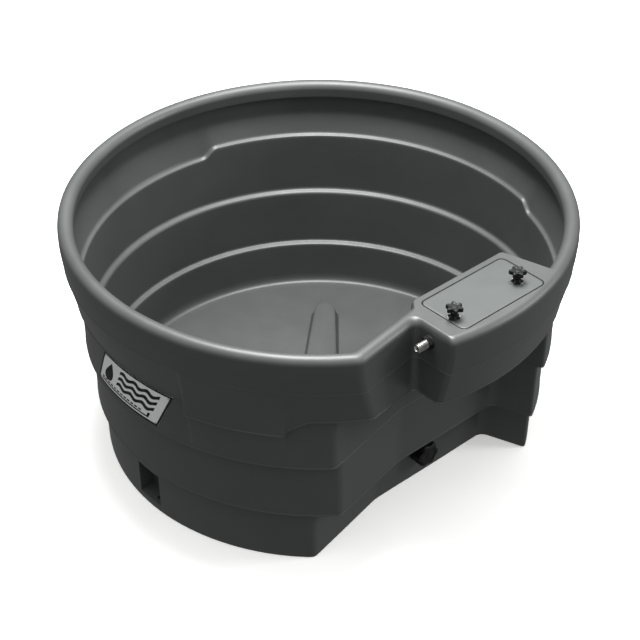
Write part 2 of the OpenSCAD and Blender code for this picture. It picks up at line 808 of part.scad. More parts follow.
module drain_bushing() {
    inner_end = drain_face + wall + back_nut_t + 4;
    outer_end = drain_face - gasket_t - bushing_flange_t - thread_out;
    color([0.07, 0.07, 0.07]) difference() {
        union() {
            along_drain(inner_end) cylinder(r = drain_r, h = inner_end - outer_end);
            along_drain(drain_face - gasket_t) cylinder(r = flange_r, h = bushing_flange_t, $fn = 96);
        }
        along_drain(inner_end + 1) cylinder(r = drain_r - 5, h = inner_end - outer_end + 2);
    }
}

module drain_gasket()
    color([0.1, 0.1, 0.1]) along_drain(drain_face) flat_ring(flange_r - 1, drain_r, gasket_t);

module drain_back_nut() {
    color([0.07, 0.07, 0.07]) along_drain(drain_face + wall + back_nut_t) difference() {
        cylinder(r = flange_r + 2, h = back_nut_t, $fn = 8);
        translate([0, 0, -1]) cylinder(r = drain_r, h = back_nut_t + 2);
    }
}

cap_face = drain_face - gasket_t - bushing_flange_t;
seal_w = 3;

// Flat ring that seals the cap on the bushing's end
module cap_seal()
    color([0.15, 0.15, 0.15]) along_drain(cap_face - thread_out) flat_ring(drain_r - 0.5, drain_r - 6, seal_w);

module drain_cap() {
    lobes = 6;
    lobe_r = 12;
    inside = thread_out + seal_w;
    color([0.05, 0.05, 0.05]) along_drain(cap_face - free_gap) difference() {
        union() {
            cylinder(r = drain_r + cap_wall, h = inside + 6);
            for (i = [0:lobes - 1]) rotate([0, 0, 30 + i * 360 / lobes])
                translate([cap_r - lobe_r, 0, 4]) cylinder(r = lobe_r, h = cap_h - 4);
            translate([0, 0, 4]) cylinder(r = cap_r - lobe_r + 2, h = cap_h - 4);
        }
        translate([0, 0, -1]) cylinder(r = drain_r + cap_gap, h = inside - free_gap + 1);
    }
}

tub();
anchor_block();
name_plate();
plate_rivets();
cover();
cover_seal();
knob_left();
spindle_left();
tongue_left();
tongue_nut_left();
spindle_washer_left();
knob_right();
spindle_right();
tongue_right();
tongue_nut_right();
spindle_washer_right();
valve_body();
inlet_washer_outer();
inlet_washer_inner();
inlet_nut();
valve_seat();
valve_end_cap();
outlet_spout();
hinge_pin();
valve_piston();
piston_washer();
float_lever();
float_rod();
rod_screw();
rod_nut();
float();
drain_bushing();
drain_gasket();
drain_back_nut();
cap_seal();
drain_cap();
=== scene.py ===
# %% [markdown]
# # A round water trough for livestock
# The trough is one hollow moulding of polyethylene with a rolled rim, three stepped tiers and a
# covered housing for its float valve. This script starts from the engineering model of the same
# trough, which fixes every size and every joint, and gives each piece the shape and the surface that
# the eye expects. The moulding is worked out in millimetres and written in metres.

# %% Load the engineering model
import json
import math

import bmesh
import bpy
import numpy as np
from mathutils import Matrix, Vector, noise


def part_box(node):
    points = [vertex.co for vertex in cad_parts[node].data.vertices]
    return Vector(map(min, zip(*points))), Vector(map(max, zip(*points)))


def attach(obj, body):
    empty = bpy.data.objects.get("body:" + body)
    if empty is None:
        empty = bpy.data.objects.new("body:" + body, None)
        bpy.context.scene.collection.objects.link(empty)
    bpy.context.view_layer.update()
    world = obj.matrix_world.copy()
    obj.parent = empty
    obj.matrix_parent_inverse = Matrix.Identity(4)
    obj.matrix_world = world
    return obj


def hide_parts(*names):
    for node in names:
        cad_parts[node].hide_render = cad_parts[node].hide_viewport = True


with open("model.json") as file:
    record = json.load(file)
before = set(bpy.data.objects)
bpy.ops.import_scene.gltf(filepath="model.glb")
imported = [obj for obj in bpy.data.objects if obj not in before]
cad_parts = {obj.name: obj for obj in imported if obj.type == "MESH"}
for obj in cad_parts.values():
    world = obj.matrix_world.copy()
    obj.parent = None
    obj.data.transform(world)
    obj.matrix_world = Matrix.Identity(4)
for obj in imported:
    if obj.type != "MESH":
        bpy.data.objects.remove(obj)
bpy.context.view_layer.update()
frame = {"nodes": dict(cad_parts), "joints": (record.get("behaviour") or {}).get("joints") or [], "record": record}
MM = 0.001

# %% [markdown]
# ## Colour and nodes
# A shader is a small graph of nodes. One function adds a node, sets its inputs and makes its links,
# so that each material reads as a recipe. Colours are given as sRGB hex values, and Blender's
# shaders work in linear light, so one function turns the first into the second.

# %% Helpers for materials
def linear(hex_colour):
    channels = [int(hex_colour[i:i + 2], 16) / 255 for i in (1, 3, 5)]
    return [c / 12.92 if c <= 0.04045 else ((c + 0.055) / 1.055) ** 2.4 for c in channels] + [1.0]


def add_node(tree, kind, settings=None, inputs=None):
    node = tree.nodes.new(kind)
    for name, value in (settings or {}).items():
        setattr(node, name, value)
    for name, value in (inputs or {}).items():
        if isinstance(value, bpy.types.NodeSocket):
            tree.links.new(value, node.inputs[name])
        else:
            node.inputs[name].default_value = value
    return node


def new_material(name, **shader_values):
    material = bpy.data.materials.new(name)
    material.use_nodes = True
    tree = material.node_tree
    shader = tree.nodes["Principled BSDF"]
    for socket, value in shader_values.items():
        shader.inputs[socket.replace("_", " ")].default_value = value
    where = add_node(tree, "ShaderNodeTexCoord").outputs["Object"]
    return material, tree, shader, where


# %% [markdown]
# ## Rotomoulded polyethylene
# Polyethylene powder melts against the inside of a turning mould. The skin copies the mould's blasted
# face, so it is satin with a fine pebble, and it cools unevenly, which leaves slow waves and patches
# of slightly different gloss. Handling adds pale scuffs. The pebble is about half a millimetre on the
# real skin and is drawn near one and a half, so that it shows. The pigment is a nearly neutral grey.

# %% Material: rotomoulded polyethylene
def moulded_polyethylene(name, body_hex, worn_hex, roughness):
    material, tree, shader, where = new_material(name, IOR=1.51)
    patches = add_node(tree, "ShaderNodeTexNoise", inputs={
        "Vector": where, "Scale": 3.5, "Detail": 5.0, "Roughness": 0.6}).outputs["Fac"]
    specks = add_node(tree, "ShaderNodeTexNoise", inputs={
        "Vector": where, "Scale": 420.0, "Detail": 3.0}).outputs["Fac"]
    scuffs = add_node(tree, "ShaderNodeTexNoise", inputs={
        "Vector": where, "Scale": 22.0, "Detail": 8.0, "Roughness": 0.74,
        "Distortion": 1.6}).outputs["Fac"]
    tone = add_node(tree, "ShaderNodeMapRange", inputs={
        "Value": patches, "From Min": 0.3, "From Max": 0.7, "To Min": 0.0, "To Max": 0.3})
    grain = add_node(tree, "ShaderNodeMapRange", inputs={
        "Value": specks, "From Min": 0.35, "From Max": 0.65, "To Min": 0.0, "To Max": 0.14})
    scuff_mask = add_node(tree, "ShaderNodeMapRange", inputs={
        "Value": scuffs, "From Min": 0.62, "From Max": 0.8, "To Min": 0.0, "To Max": 0.4})
    wear = add_node(tree, "ShaderNodeMath", {"operation": "ADD"}, {
        0: tone.outputs["Result"], 1: grain.outputs["Result"]})
    wear = add_node(tree, "ShaderNodeMath", {"operation": "ADD", "use_clamp": True}, {
        0: wear.outputs[0], 1: scuff_mask.outputs["Result"]})
    colour = add_node(tree, "ShaderNodeMixRGB", inputs={
        "Fac": wear.outputs[0], "Color1": linear(body_hex), "Color2": linear(worn_hex)})
    tree.links.new(colour.outputs["Color"], shader.inputs["Base Color"])
    gloss = add_node(tree, "ShaderNodeMapRange", inputs={
        "Value": patches, "From Min": 0.3, "From Max": 0.7,
        "To Min": roughness - 0.05, "To Max": roughness + 0.06})
    tree.links.new(gloss.outputs["Result"], shader.inputs["Roughness"])
    pebble = add_node(tree, "ShaderNodeTexNoise", inputs={
        "Vector": where, "Scale": 650.0, "Detail": 2.0}).outputs["Fac"]
    fine = add_node(tree, "ShaderNodeBump", inputs={
        "Height": pebble, "Strength": 0.12, "Distance": 0.4 * MM})
    waves = add_node(tree, "ShaderNodeTexNoise", inputs={
        "Vector": where, "Scale": 8.0, "Detail": 2.0}).outputs["Fac"]
    slow = add_node(tree, "ShaderNodeBump", inputs={
        "Height": waves, "Strength": 0.3, "Distance": 4.0 * MM, "Normal": fine.outputs["Normal"]})
    tree.links.new(slow.outputs["Normal"], shader.inputs["Normal"])
    return material


tub_skin = moulded_polyethylene("rotomoulded polyethylene, dark grey", "#3a3c3b", "#4e5150", 0.44)
cover_skin = moulded_polyethylene("moulded polyethylene, mid grey", "#3c3f3e", "#4b4e4d", 0.5)
print("polyethylene:", tub_skin.name, "and", cover_skin.name)

# %% [markdown]
# ## Small fittings
# The knobs and the drain cap are black glass-filled nylon, the seals are EPDM rubber, the inlet is
# nickel-plated brass, and the latches are zinc-plated steel. Each has the same three parts: a base
# colour that varies a little, a roughness that varies with it, and a relief at its own scale.

# %% Materials: plastics, rubber and metals of the fittings
def fitting_material(name, low_hex, high_hex, roughness, grain_mm, relief_mm, **shader_values):
    material, tree, shader, where = new_material(name, **shader_values)
    grain = add_node(tree, "ShaderNodeTexNoise", inputs={
        "Vector": where, "Scale": 1 / (grain_mm * MM), "Detail": 4.0, "Roughness": 0.6}).outputs["Fac"]
    cloud = add_node(tree, "ShaderNodeTexNoise", inputs={
        "Vector": where, "Scale": 45.0, "Detail": 3.0}).outputs["Fac"]
    colour = add_node(tree, "ShaderNodeMixRGB", inputs={
        "Fac": cloud, "Color1": linear(low_hex), "Color2": linear(high_hex)})
    tree.links.new(colour.outputs["Color"], shader.inputs["Base Color"])
    gloss = add_node(tree, "ShaderNodeMapRange", inputs={
        "Value": cloud, "From Min": 0.3, "From Max": 0.7,
        "To Min": roughness * 0.8, "To Max": roughness * 1.25})
    tree.links.new(gloss.outputs["Result"], shader.inputs["Roughness"])
    relief = add_node(tree, "ShaderNodeBump", inputs={
        "Height": grain, "Strength": 0.5, "Distance": relief_mm * MM})
    tree.links.new(relief.outputs["Normal"], shader.inputs["Normal"])
    return material


nylon = fitting_material("glass-filled nylon, black, moulded", "#060607", "#0d0d0e", 0.5, 1.2, 0.05,
                         IOR=1.5, Specular_IOR_Level=0.28)
rubber = fitting_material("EPDM rubber, black, moulded", "#141414", "#222221", 0.62, 0.8, 0.04, IOR=1.52)
acetal = fitting_material("acetal, white, moulded", "#d9d9d2", "#ecece6", 0.34, 1.5, 0.03, IOR=1.48)
float_skin = fitting_material("polyethylene, orange, blow-moulded", "#c8541c", "#dd6a2a", 0.33, 3.0, 0.08,
                              IOR=1.51)
nickel = fitting_material("nickel-plated brass, turned", "#a8a8a4", "#cfcfca", 0.24, 0.5, 0.02, Metallic=1.0)
brass = fitting_material("brass, machined", "#b08a45", "#cfae6a", 0.28, 0.5, 0.02, Metallic=1.0)
zinc = fitting_material("zinc-plated steel, pressed", "#9a9da0", "#bcc0c3", 0.33, 0.9, 0.03, Metallic=1.0)
plate_metal = fitting_material("aluminium sheet, rolled", "#e4e6e6", "#f2f3f3", 0.42, 0.7, 0.02,
                               Metallic=0.35)
plate_ink = fitting_material("screen-printed enamel, black", "#060606", "#0e0e0e", 0.55, 1.0, 0.01,
                             IOR=1.5, Specular_IOR_Level=0.25)
print("fittings:", [m.name for m in (nylon, rubber, acetal, float_skin, nickel, brass, zinc)])

# %% [markdown]
# ## The plan of the moulding
# Seen from above, the moulding is a circle with a bite out of it. The bite differs with height: low
# down it is the notch for the drain, and above the skirt band it is the recess beside the housing.
# Every level is drawn as one closed outline with five corners (A where the round wall meets the
# slanting face, then V, B, C and D), and every outline has the same number of points. Levels can then
# be joined row by row, which gives clean four-sided faces that boolean cuts leave tidy.

# %% Sizes of the moulding in millimetres
tub_low, tub_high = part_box("tub")
RIM = tub_high.x / MM
TOP = tub_high.z / MM
BAND_FOOT = TOP - 245.0
CREASE = TOP - 125.0
LIP = TOP - 56.0
BULLNOSE = 24.0
SHOULDER_SLOPE = math.radians(8.5)
NOTCH_SLOPE = math.radians(11.5)
NOTCH_FLARE = math.radians(20.0)
NOTCH_Y, NOTCH_X = 280.0 - RIM, (-136.0, 271.0)
NOTCH_FOOT_Y, NOTCH_FOOT_X = 350.0 - RIM, (-160.0, 313.0)
HOUSE_X = -203.0
HOUSE_FLARE = math.radians(-75)
HOUSE_END = math.radians(-70.2)
SHOULDER_Y = 168.0 - RIM
PARTITION_Y, PARTITION_X = 243.0 - RIM, (-148.0, 212.0)
PARTITION_TURN = 65.0 / 55.0
RAISE_START, RAISE_END, RAISE_H, RAISE_FADE = -18, 78, 30, 2
BLOCK_START, BLOCK_END, BLOCK_H, BLOCK_PROUD = 197.3, 220.5, 40, 19
BLOCK_FADE, BLOCK_RAMP = 1.2, 4.3
print(f"rim radius {RIM:.1f} mm, top at {TOP:.1f} mm")


# %% Outline of one level
def heading(angle):
    return np.array([math.cos(angle), math.sin(angle)])


def reach_circle(start, direction, radius):
    along = start @ direction
    return start + direction * (math.sqrt(along ** 2 - start @ start + radius ** 2) - along)


def notch_corners(foot, radius, offset):
    y = (NOTCH_FOOT_Y if foot else NOTCH_Y) + offset
    left, right = NOTCH_FOOT_X if foot else NOTCH_X
    b = np.array([left - offset * math.tan(NOTCH_SLOPE / 2), y])
    c = np.array([right + offset * (1 - math.sin(NOTCH_FLARE)) / math.cos(NOTCH_FLARE), y])
    a = reach_circle(b, heading(math.pi + NOTCH_SLOPE), radius)
    d = reach_circle(c, heading(NOTCH_FLARE - math.pi / 2), radius)
    return [a, b + (a - b) * 0.28, b, c, d], [14, 8, 22, 26, 12]


def housing_corners(radius, shoulder, side):
    x = HOUSE_X + side
    h = np.array([x, SHOULDER_Y + shoulder / math.cos(SHOULDER_SLOPE) + side * math.tan(SHOULDER_SLOPE)])
    g = np.array([x, -math.sqrt(radius ** 2 - x ** 2)])
    a = reach_circle(h, heading(math.pi + SHOULDER_SLOPE), radius)
    return [a, h, h + (g - h) * 0.58, g, radius * heading(HOUSE_END)], [16, 30, 8, 13, 8]


def inner_corners(radius, shoulder, side):
    p, q = [np.array([x, PARTITION_Y + side]) for x in PARTITION_X]
    tangent = math.tan(SHOULDER_SLOPE)
    at_house = SHOULDER_Y + shoulder / math.cos(SHOULDER_SLOPE)
    x = (at_house - HOUSE_X * tangent - p[1] + PARTITION_TURN * p[0]) / (PARTITION_TURN - tangent)
    v = np.array([x, p[1] + PARTITION_TURN * (x - p[0])])
    a = reach_circle(v, heading(math.pi + SHOULDER_SLOPE), radius)
    return [a, v, p, q, reach_circle(q, heading(HOUSE_FLARE), radius)], [16, 6, 9, 9, 12]


jogs = [a + k * 0.7 for a in (RAISE_START, RAISE_END) for k in range(-4, 5)]
block_edges = [197.0 + k * 0.3 for k in range(7)] + [219.9 + k * 0.4 for k in range(8)]
even = [a for a in np.arange(-50, 223, 2.5) if min(abs(a - b) for b in jogs + block_edges) > 0.6]
MAIN_ANGLES = np.radians(sorted(even + jogs + block_edges))
print("columns on the round wall:", len(MAIN_ANGLES))


# %% [markdown]
# A corner in plan is rounded with a quadratic Bezier curve: it starts and ends a chosen distance from
# the corner and is pulled towards it. The round wall keeps fixed columns, apart from four at each end
# that slide so as to meet the corners, which move from level to level.

# %% Rounded outline
def rounded_corner(before, corner, after):
    return [(1 - t) ** 2 * before + 2 * t * (1 - t) * corner + t * t * after
            for t in np.linspace(0, 1, 7)]


def between(start, end, count):
    return [start + (end - start) * (k + 1) / (count + 1) for k in range(count)]


def toward(start, end, size):
    return start + (end - start) / np.linalg.norm(end - start) * size


def outline(kind, radius, first, second):
    if kind in ("foot", "notch"):
        corners, sizes = notch_corners(kind == "foot", radius, first)
    elif kind == "housing":
        corners, sizes = housing_corners(radius, first, second)
    else:
        corners, sizes = inner_corners(radius, first, second)
    a, v, b, c, d = corners
    angle_a = math.atan2(a[1], a[0]) % (2 * math.pi)
    angle_c = math.atan2(c[1], c[0])
    angle_d = math.atan2(d[1], d[0])
    arc_before_a = radius * heading(angle_a - sizes[0] / radius)
    arc_after_d = radius * heading(angle_d + sizes[4] / radius)
    on_arc = kind == "housing"
    after_c = radius * heading(angle_c + sizes[3] / radius) if on_arc else toward(c, d, sizes[3])
    before_d = radius * heading(angle_d - sizes[4] / radius) if on_arc else toward(d, c, sizes[4])
    starts = between(angle_d + sizes[4] / radius, MAIN_ANGLES[0], 4)
    ends = between(MAIN_ANGLES[-1], angle_a - sizes[0] / radius, 4)
    points = rounded_corner(before_d, d, arc_after_d)
    points += [radius * heading(t) for t in starts + list(MAIN_ANGLES) + ends]
    points += rounded_corner(arc_before_a, a, toward(a, v, sizes[0]))
    points += between(toward(a, v, sizes[0]), toward(v, a, sizes[1]), 8)
    points += rounded_corner(toward(v, a, sizes[1]), v, toward(v, b, sizes[1]))
    points += between(toward(v, b, sizes[1]), toward(b, v, sizes[2]), 4)
    points += rounded_corner(toward(b, v, sizes[2]), b, toward(b, c, sizes[2]))
    points += between(toward(b, c, sizes[2]), toward(c, b, sizes[3]), 12)
    points += rounded_corner(toward(c, b, sizes[3]), c, after_c)
    if on_arc:
        points += [radius * heading(t) for t in
                   between(angle_c + sizes[3] / radius, angle_d - sizes[4] / radius, 8)]
    else:
        points += between(after_c, before_d, 8)
    return np.array(points)


print("points in an outline:", len(outline("housing", RIM, 0, 0)))

# %% [markdown]
# ## The section of the moulding
# Going up the outside, over the rim and down the inside, the section is a list of corners. Each holds
# the radius of the round wall, its height, how far the flat faces are set in, and how large its
# rounding is. A stretch that belongs to one kind of outline is one list. Long stretches get extra
# rows, so that the wall can carry the slow waves of a real moulding.

# %% Section: corners to rows
def soften(corners, longest=34.0):
    corners = [np.array(c, float) for c in corners]
    rows = []
    for i, corner in enumerate(corners):
        size = corner[4]
        values = np.delete(corner, 4)
        if size == 0:
            rows.append(values)
            continue
        arms = []
        for other in (corners[i - 1], corners[i + 1]):
            full = np.delete(other, 4) - values
            arms.append(values + full * min(0.48, size / max(np.linalg.norm(full[:4]), 1e-6)))
        rows += [(1 - t) ** 2 * arms[0] + 2 * t * (1 - t) * values + t * t * arms[1]
                 for t in np.linspace(0, 1, 5)]
    full_rows = [rows[0]]
    for row in rows[1:]:
        gap = np.linalg.norm((row - full_rows[-1])[:2])
        extra = int(gap // longest)
        full_rows += between(full_rows[-1], row, extra) + [row]
    return full_rows


def bullnose(inside):
    rows = []
    turns = [math.radians(a) for a in (12, 26, 40, 54, 67, 78, 86)]
    for turn in reversed(turns) if inside else turns:
        across = BULLNOSE * math.cos(turn)
        set_in = BULLNOSE - across
        radius = RIM - BULLNOSE + (-across if inside else across)
        shoulder = 2 * BULLNOSE - set_in if inside else set_in
        side = -0.5 * set_in if inside else 0.5 * set_in
        rows.append(np.array([radius, TOP - BULLNOSE * (1 - math.sin(turn)), shoulder, side, 0.0, 0.0]))
    return rows


# The mould's parting leaves a bead a millimetre and a half proud along each ledge's outer edge
def bead(radius, z, share):
    flat = 0 if share == 0 else 1
    return [(radius, z - 0.4, 0, 0, 2, share, share),
            (radius + 1.6, z + 1.2, -1.5, -1.5 * flat, 0, share, share),
            (radius + 1.7, z + 3.6, -1.5, -1.5 * flat, 0, share, share),
            (radius + 0.3, z + 5.8, 0, 0, 1.5, share, share)]


# Each corner: radius, height, set-in of faces 1 and 2, rounding, share of the raise, share of the block
foot_outside = soften([
    (644, 45, 46, 0, 0, 0, 0), (644, 0, 46, 0, 4, 0, 0), (690, 0, 0, 0, 9, 0, 0),
    (694, 197, 0, 0, 4, 0, 0), (702, 194, -7, 0, 0, 0, 0)])
tiers_outside = soften([
    (705, 192.5, 6, 0, 0, 0, 0), *bead(713, 189, 0), (717, 398, 0, 0, 4, 0, 0),
    *bead(736, 390, 0), (740, 583, 0, 0, 4, 1, 1), (746, 580.5, -7, 0, 0, 1, 1)])
band_outside = soften([
    (747, 578.5, 7, 7, 0, 1, 1), *bead(754, 575, 1), (780, CREASE - 4, 0, 0, 0, 0, 0),
    (780.6, CREASE - 1.8, -0.9, -0.9, 0, 0, 0), (782.2, CREASE, -1.3, -1.3, 0, 0, 0),
    (781.6, CREASE + 1.8, -0.9, -0.9, 0, 0, 0), (781.5, CREASE + 4, 0, 0, 0, 0, 0),
    (RIM, LIP, 0, 0, 20, 0, 0), (RIM, TOP - BULLNOSE, 0, 0, 0, 0, 0)]) + bullnose(False)
band_inside = bullnose(True) + soften([
    (RIM - 48, TOP - BULLNOSE, 48, 0, 0, 0, 0), (RIM - 46, LIP + 4, 46, 0, 4, 0, 0),
    (RIM - 39, LIP - 1, 39, 0, 4, 0, 0), (779, 756.5, 11, 0, 4, 0, 0), (770.6, CREASE, 10, 0, 12, 0, 0),
    (743.6, 601, 10, 0, 9, 1, 0), (737, 597, 17, 6, 0, 1, 0)])
tiers_inside = soften([
    (735, 596, 4, 0, 0, 1, 0), (730, 593, 10, 0, 8, 1, 0), (726, 416, 10, 0, 7, 0, 0),
    (707, 408, 10, 0, 8, 0, 0), (703, 215, 10, 0, 7, 0, 0), (696, 212.2, 17, 0, 0, 0, 0)])
foot_inside = soften([
    (690, 209.6, 4, 0, 0, 0, 0), (684, 207, 10, 0, 8, 0, 0), (679.6, 55, 10, 0, 32, 0, 0),
    (640, 55, 50, 0, 0, 0, 0)])
print("rows:", sum(len(s) for s in (foot_outside, tiers_outside, band_outside, band_inside,
                                    tiers_inside, foot_inside)))

# %% [markdown]
# The skirt band isn't the same all round. At the back it is 30 mm shallower, and at the front left a
# lifting block hangs 40 mm below it, with a ramp at its right-hand end. Both are made by moving rows
# up or down by a share that fades out away from the band's foot. A slow noise then moves the wall in
# by up to a millimetre and a half, as uneven cooling does. It only moves inward, which keeps the
# moulding inside the engineering model's size. The floor is filled with rings that shrink towards a
# point from which its whole edge can be seen, because rings about any other point fold over the notch.

# %% Shape of each row, and the skin
def smooth_step(value, start, end):
    t = min(max((value - start) / (end - start), 0.0), 1.0)
    return t * t * (3 - 2 * t)


def shaped(kind, row):
    radius, z, first, second, raise_share, block_share = row
    rows = []
    for x, y in outline(kind, radius, first, second):
        degrees = math.degrees(math.atan2(y, x))
        turn = degrees % 360
        raised = smooth_step(degrees, RAISE_START - RAISE_FADE, RAISE_START + RAISE_FADE)
        raised *= 1 - smooth_step(degrees, RAISE_END - RAISE_FADE, RAISE_END + RAISE_FADE)
        begun = smooth_step(turn, BLOCK_START, BLOCK_START + BLOCK_FADE)
        block = begun * (1 - min(max((turn - BLOCK_END) / BLOCK_RAMP, 0), 1))
        proud = begun * (1 - smooth_step(turn, BLOCK_END - 0.4, BLOCK_END - 0.4 + BLOCK_FADE))
        height = z + RAISE_H * raise_share * raised - BLOCK_H * block_share * block
        wave = noise.noise(Vector((x, y, height)) * MM * 4.0) * 0.9 + 0.6
        length = math.hypot(x, y)
        scale = 1 + (BLOCK_PROUD * block_share * proud - max(wave, 0.0)) / length
        rows.append((x * scale, y * scale, height))
    return np.array(rows)


def skin(name, rows, close_start=None, close_end=None, ring=False):
    mesh = bpy.data.meshes.new(name)
    count = len(rows[0])
    vertices = [tuple(p) for row in rows for p in row]
    faces = []
    for i in range(len(rows) - (0 if ring else 1)):
        low, high = i * count, ((i + 1) % len(rows)) * count
        faces += [(low + k, low + (k + 1) % count, high + (k + 1) % count, high + k) for k in range(count)]
    for pole, first, flip in ((close_start, 0, True), (close_end, (len(rows) - 1) * count, False)):
        if pole is not None:
            vertices.append(tuple(pole))
            tip = len(vertices) - 1
            fan = [(first + k, first + (k + 1) % count, tip) for k in range(count)]
            faces += [f[::-1] for f in fan] if flip else fan
    mesh.from_pydata([Vector(v) * MM for v in vertices], [], faces)
    mesh.validate()
    piece = bpy.data.objects.new(name, mesh)
    bpy.context.scene.collection.objects.link(piece)
    return piece


stretches = [("foot", foot_outside), ("notch", tiers_outside), ("housing", band_outside),
             ("inner", band_inside), ("notch", tiers_inside), ("foot", foot_inside)]
tub_rows = [shaped(kind, row) for kind, rows in stretches for row in rows]
floor_edge = tub_rows[-1]
FLOOR_EYE = np.array([230.0, 60.0, 0.0])
for share in (0.86, 0.7, 0.54, 0.38, 0.22, 0.1):
    ring = floor_edge * [share, share, 1] + FLOOR_EYE * (1 - share)
    ring[:, 2] += [1.5 * noise.noise(Vector(p) * MM * 3.0) for p in ring]
    tub_rows.append(ring)
FLOOR_UNDERSIDE, FLOOR_TOP = 45, 55
tub = skin("tub_moulding", tub_rows, (*FLOOR_EYE[:2], FLOOR_UNDERSIDE), (*FLOOR_EYE[:2], FLOOR_TOP))
print("faces in the moulding:", len(tub.data.polygons))

# %% [markdown]
# ## Holes, recesses and ribs
# The openings are cut with booleans, as a core or a drill makes them. A cutter is a plain closed skin.
# The cover's recess widens by two millimetres at its mouth, which gives the soft edge that a moulding
# has there.

# %% Cutters
def rounded_rectangle(centre, half_l, half_w, corner, steps=8):
    points = []
    for k, (sx, sy) in enumerate(((1, 1), (-1, 1), (-1, -1), (1, -1))):
        middle = np.array(centre) + [sx * (half_l - corner), sy * (half_w - corner)]
        points += [middle + corner * heading(math.pi / 2 * (k + t / steps)) for t in range(steps + 1)]
    return np.array(points)


def level(points, z):
    return np.column_stack([points, np.full(len(points), z)])


def prism(name, levels):
    bottom, top = levels[0].mean(axis=0), levels[-1].mean(axis=0)
    return skin(name, levels, bottom, top)


def barrel(name, start, axis, radius, length, count=64):
    axis = Vector(axis)
    side = axis.orthogonal().normalized()
    up = axis.cross(side)
    rings = []
    for along in (0, length):
        rings.append(np.array([Vector(start) + axis * along + radius * (
            side * math.cos(2 * math.pi * k / count) + up * math.sin(2 * math.pi * k / count))
            for k in range(count)]))
    return prism(name, rings)


def combine(piece, tool, operation):
    modifier = piece.modifiers.new(operation, "BOOLEAN")
    modifier.operation = operation
    modifier.solver = "MANIFOLD"
    modifier.object = tool
    graph = bpy.context.evaluated_depsgraph_get()
    mesh = bpy.data.meshes.new_from_object(piece.evaluated_get(graph))
    assert mesh.polygons and len(mesh.polygons) != len(piece.data.polygons), f"{tool.name} cut nothing"
    piece.modifiers.clear()
    piece.data = mesh
    bpy.data.objects.remove(tool)


cover_low, cover_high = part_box("cover")
cover_mid = ((cover_low.x + cover_high.x) / 2 / MM, (cover_low.y + cover_high.y) / 2 / MM)
cover_half_l = (cover_high.x - cover_low.x) / 2 / MM
cover_half_w = (cover_high.y - cover_low.y) / 2 / MM
GAP, LEDGE, SEAT, DECK, COVER_CORNER = 2.5, 11.0, 10.0, 18.0, 18


def cover_shape(grow):
    return rounded_rectangle(cover_mid, cover_half_l + grow, cover_half_w + grow, COVER_CORNER + grow)


recess = [level(cover_shape(GAP), TOP - SEAT), level(cover_shape(GAP), TOP - 3),
          level(cover_shape(GAP + 0.8), TOP - 0.8), level(cover_shape(GAP + 2.4), TOP + 0.6)]
opening = [level(cover_shape(-LEDGE), TOP - 60), level(cover_shape(-LEDGE), TOP - 5)]


def chamber_level(radius, z):
    start = np.array([202.0, PARTITION_Y - 10])
    corner = reach_circle(start, heading(HOUSE_FLARE), radius)
    far_left = HOUSE_X + 10
    angles = np.linspace(math.atan2(corner[1], corner[0]),
                         math.atan2(-math.sqrt(radius ** 2 - far_left ** 2), far_left), 24)
    arc = [radius * heading(a) for a in angles]
    end = np.array([far_left, start[1]])
    return level(np.array([end, *between(end, start, 6), start] + arc)[::-1], z)


chamber = [chamber_level(r, z) for r, z in (
    (744, 588), (770.6, CREASE), (780, LIP), (780, TOP - DECK))]
print("cutters ready; cover is", round(2 * cover_half_l), "x", round(2 * cover_half_w), "mm")

# %% Cut and join
inlet_low, inlet_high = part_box("inlet_nut")
inlet_at = (inlet_low + inlet_high) / 2 / MM
drain_low, drain_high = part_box("drain_gasket")
drain_at = (drain_low + drain_high) / 2 / MM
POCKET_ANGLE = math.radians(179)
POCKET_TURN = Matrix.Rotation(POCKET_ANGLE, 3, "Z")
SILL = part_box("anchor_block")[1].z / MM
POCKET_TOP = SILL + 118
POCKET_BACK, POCKET_HALF_W, POCKET_WALL = 694 - 62, 50, 10
INLET_HOLE_R, DRAIN_HOLE_R, ANCHOR_HOLE_R = 13.6, 30.2, 8


def pocket_box(grow):
    x0, x1 = POCKET_BACK - grow, 800
    half = POCKET_HALF_W + grow
    corners = rounded_rectangle(((x0 + x1) / 2, 0), (x1 - x0) / 2, half, 6 + grow / 2, 4)
    return [np.array([POCKET_TURN @ Vector((*p, z)) for p in corners])
            for z in (SILL - grow, POCKET_TOP + grow)]


def rib_level(grow, z):
    half_turn = np.linspace(math.pi / 2, 1.5 * math.pi, 13)
    near = [(-60 + 70 * math.cos(a) - grow, 70 * math.sin(a)) for a in half_turn]
    far = [(458 - (42 - grow) * math.cos(a), -(42 - grow) * math.sin(a)) for a in half_turn]
    points = np.array([(x, y * (1 - grow / 60)) for x, y in near + far])
    turn = math.radians(45)
    rotated = np.column_stack([points[:, 0] * math.cos(turn) - points[:, 1] * math.sin(turn),
                               points[:, 0] * math.sin(turn) + points[:, 1] * math.cos(turn)])
    return level(rotated, z)


shell_plan = rounded_rectangle((-652, 11.5), 30, POCKET_HALF_W + POCKET_WALL, 10, 4)
shell = [level(shell_plan, z) for z in (SILL - 8, POCKET_TOP + POCKET_WALL)]
combine(tub, prism("pocket_shell", shell), "UNION")
rib = [rib_level(grow, z) for grow, z in ((-6, 50), (0, 62), (4, 84), (9, 88))]
combine(tub, prism("rib", rib), "UNION")
combine(tub, prism("recess", recess), "DIFFERENCE")
combine(tub, prism("chamber", chamber), "DIFFERENCE")
combine(tub, prism("opening", opening), "DIFFERENCE")
for side in (-90, 90):
    passage = rounded_rectangle((cover_mid[0] + side, PARTITION_Y), 35, 18, 4, 3)
    combine(tub, prism("passage", [level(passage, z) for z in (589, 632)]), "DIFFERENCE")
inlet_start = (HOUSE_X - 30, inlet_at.y, inlet_at.z)
combine(tub, barrel("inlet_hole", inlet_start, (1, 0, 0), INLET_HOLE_R, 60), "DIFFERENCE")
